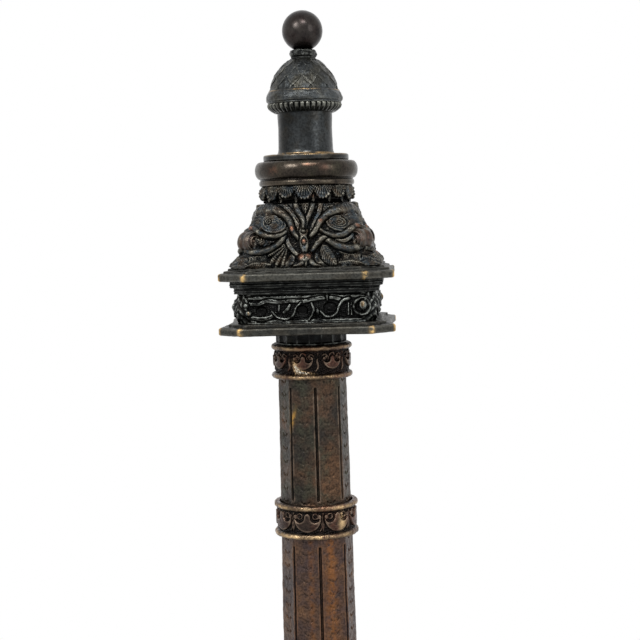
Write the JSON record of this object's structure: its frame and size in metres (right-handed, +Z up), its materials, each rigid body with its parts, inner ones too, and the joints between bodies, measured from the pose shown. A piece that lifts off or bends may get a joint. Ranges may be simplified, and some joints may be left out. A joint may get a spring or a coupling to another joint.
{
  "type": "paschal candlestick",
  "caption": "Tall floor candlestick: tapering grooved column with ring bands, ornate square capital and foot, candle socket with a lift-off domed cover.",
  "frame": {"origin": "on the floor under the middle of the foot", "axes": "+Z up along the column, +X to the right and -Y towards the viewer"},
  "size_m": [0.29, 0.29, 1.1246],
  "materials": {
    "dark_bronze": "cast bronze with a black-green patina, worn at the edges",
    "brown_bronze": "cast bronze with a brown patina, worn to copper on the beads",
    "steel": "plain zinc-plated hardware",
    "cast_iron": "rough casting"
  },
  "bodies": {
    "stand": {"base_plate": "dark_bronze", "base_skirt": "dark_bronze", "base_frieze": "dark_bronze", "base_moulding": "dark_bronze", "base_top_plate": "dark_bronze", "base_body": "dark_bronze", "base_collar": "dark_bronze", "column_neck": "dark_bronze", "lower_plate": "dark_bronze", "frieze_block": "dark_bronze", "upper_moulding": "dark_bronze", "upper_plate": "dark_bronze", "capital_body": "dark_bronze", "leaf_collar": "dark_bronze", "torus_collar": "dark_bronze", "drip_flange": "dark_bronze", "candle_socket": "dark_bronze", "candle_seat": "dark_bronze", "foot_1": "dark_bronze", "foot_2": "dark_bronze", "foot_3": "dark_bronze", "foot_4": "dark_bronze", "band_1": "brown_bronze", "band_2": "brown_bronze", "band_3": "brown_bronze", "band_4": "brown_bronze", "band_5": "brown_bronze", "band_6": "brown_bronze", "shaft_1": "brown_bronze", "shaft_2": "brown_bronze", "shaft_3": "brown_bronze", "shaft_4": "brown_bronze", "shaft_5": "brown_bronze", "tie_rod": "steel", "top_washer": "steel", "top_nut": "steel", "bottom_washer": "steel", "bottom_nut": "steel", "foot_screw_1": "steel", "foot_screw_2": "steel", "foot_screw_3": "steel", "foot_screw_4": "steel", "base_weight": "cast_iron"},
    "cover": {"gadroon_ring": "dark_bronze", "cover_dome": "dark_bronze", "knob_collar": "dark_bronze", "ball_knob": "dark_bronze", "knob_stud": "steel", "knob_nut": "steel"}
  },
  "joints": [
    {"name": "cover_lift", "type": "slide", "parent": "stand", "child": "cover", "axis": [0, 0, 1], "range_m": [0, 0.06]}
  ]
}
